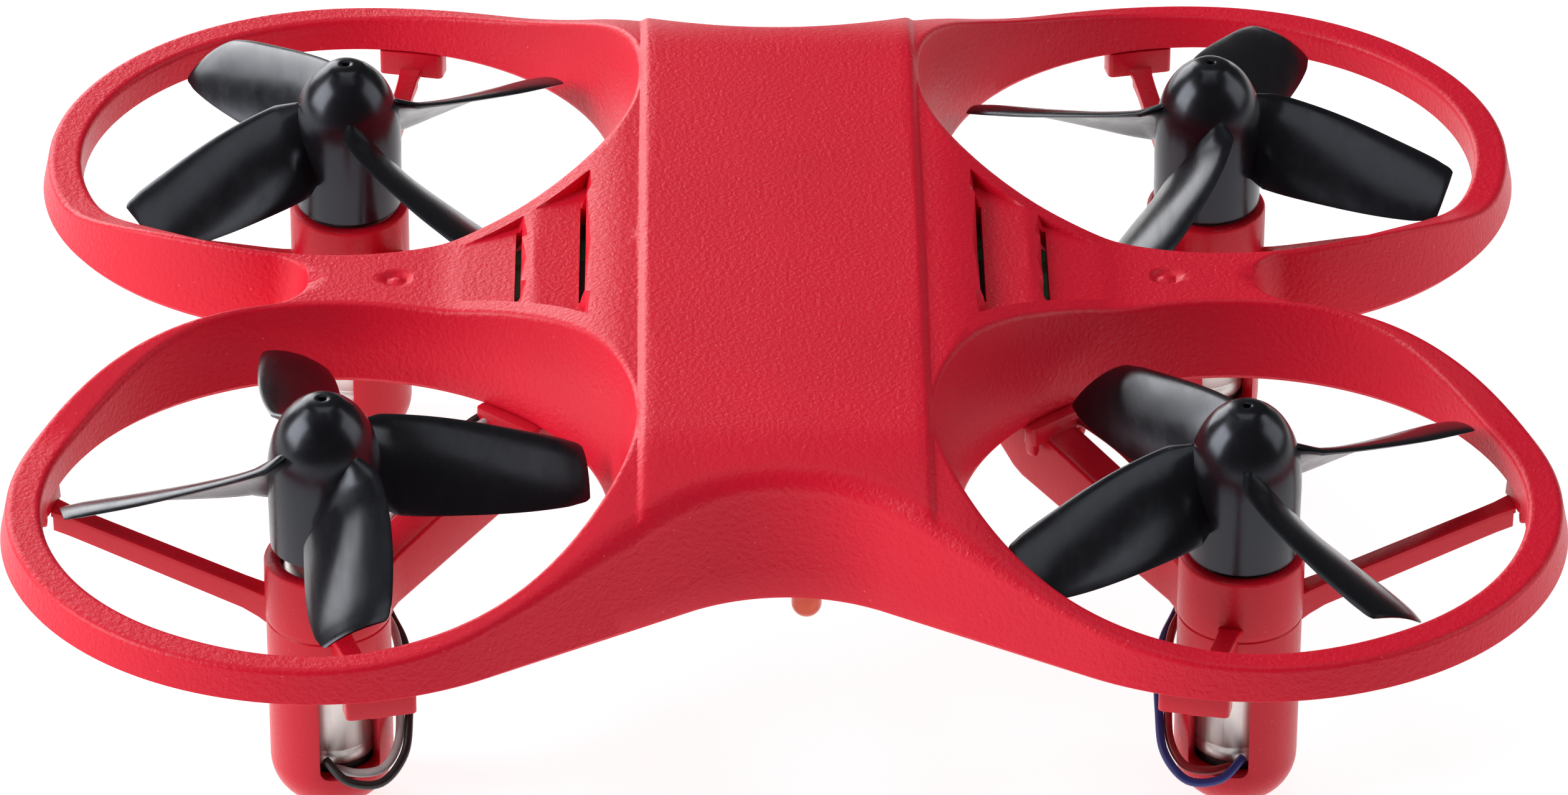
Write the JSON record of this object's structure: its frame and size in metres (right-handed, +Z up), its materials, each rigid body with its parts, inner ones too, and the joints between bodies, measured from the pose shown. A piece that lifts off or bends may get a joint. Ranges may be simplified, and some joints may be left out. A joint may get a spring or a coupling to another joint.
{
  "type": "mini quadcopter drone",
  "caption": "Palm-size quadcopter with a one-piece ducted guard shell, motor tubes on slim arms, spinning propellers, battery and switch.",
  "frame": {"origin": "on the ground plane, midway between the four motor shafts", "axes": "+X right seen from behind the camera side, +Y towards the rear, +Z up along the motor shafts"},
  "size_m": [0.1026, 0.0884, 0.0304],
  "materials": {
    "shell_red": "fine spark-eroded grain",
    "frame_red": "satin moulded",
    "screw_steel": "plain",
    "board_green": "solder-resist gloss",
    "chip_black": "epoxy moulding",
    "crystal_steel": "polished can",
    "cell_foil": "laminated foil",
    "connector_white": "moulded nylon",
    "lead_red": "silicone insulation",
    "lead_black": "silicone insulation",
    "lead_grey": "vinyl insulation",
    "lead_blue": "vinyl insulation",
    "switch_steel": "stamped",
    "switch_black": "moulded",
    "lamp_orange": "clear cast dome",
    "motor_steel": "fine turned",
    "cap_black": "moulded",
    "shaft_steel": "ground",
    "propeller_black": "satin moulded"
  },
  "bodies": {
    "airframe": {"upper_shell": "shell_red", "lower_frame": "frame_red", "battery_cover": "frame_red", "frame_screws": "screw_steel", "cover_screw": "screw_steel", "circuit_board": "board_green", "board_chips": "chip_black", "board_crystal": "crystal_steel", "battery_cell": "cell_foil", "battery_plug": "connector_white", "battery_socket": "connector_white", "battery_leads": "lead_red", "power_switch_body": "switch_steel", "charge_socket": "switch_steel", "front_lamp": "lamp_orange", "rear_lamp": "lamp_orange", "antenna_wire": "lead_black", "motor_can_fl": "motor_steel", "motor_can_fr": "motor_steel", "motor_can_rl": "motor_steel", "motor_can_rr": "motor_steel", "motor_cap_fl": "cap_black", "motor_cap_fr": "cap_black", "motor_cap_rl": "cap_black", "motor_cap_rr": "cap_black", "motor_leads_fl": "lead_grey", "motor_leads_fr": "lead_blue", "motor_leads_rl": "lead_blue", "motor_leads_rr": "lead_grey"},
    "rotor_fl": {"propeller_fl": "propeller_black", "motor_shaft_fl": "shaft_steel"},
    "rotor_fr": {"propeller_fr": "propeller_black", "motor_shaft_fr": "shaft_steel"},
    "rotor_rl": {"propeller_rl": "propeller_black", "motor_shaft_rl": "shaft_steel"},
    "rotor_rr": {"propeller_rr": "propeller_black", "motor_shaft_rr": "shaft_steel"},
    "switch_slider": {"power_switch_slider": "switch_black"}
  },
  "joints": [
    {"name": "spin_fl", "type": "hinge", "parent": "airframe", "child": "rotor_fl", "pos_m": [-0.03, -0.0229, 0.0188], "axis": [0, 0, 1], "continuous": true},
    {"name": "spin_fr", "type": "hinge", "parent": "airframe", "child": "rotor_fr", "pos_m": [0.03, -0.0229, 0.0188], "axis": [0, 0, 1], "continuous": true},
    {"name": "spin_rl", "type": "hinge", "parent": "airframe", "child": "rotor_rl", "pos_m": [-0.03, 0.0229, 0.0188], "axis": [0, 0, 1], "continuous": true},
    {"name": "spin_rr", "type": "hinge", "parent": "airframe", "child": "rotor_rr", "pos_m": [0.03, 0.0229, 0.0188], "axis": [0, 0, 1], "continuous": true},
    {"name": "switch_travel", "type": "slide", "parent": "airframe", "child": "switch_slider", "axis": [1, 0, 0], "range_m": [0, 0.002]}
  ]
}
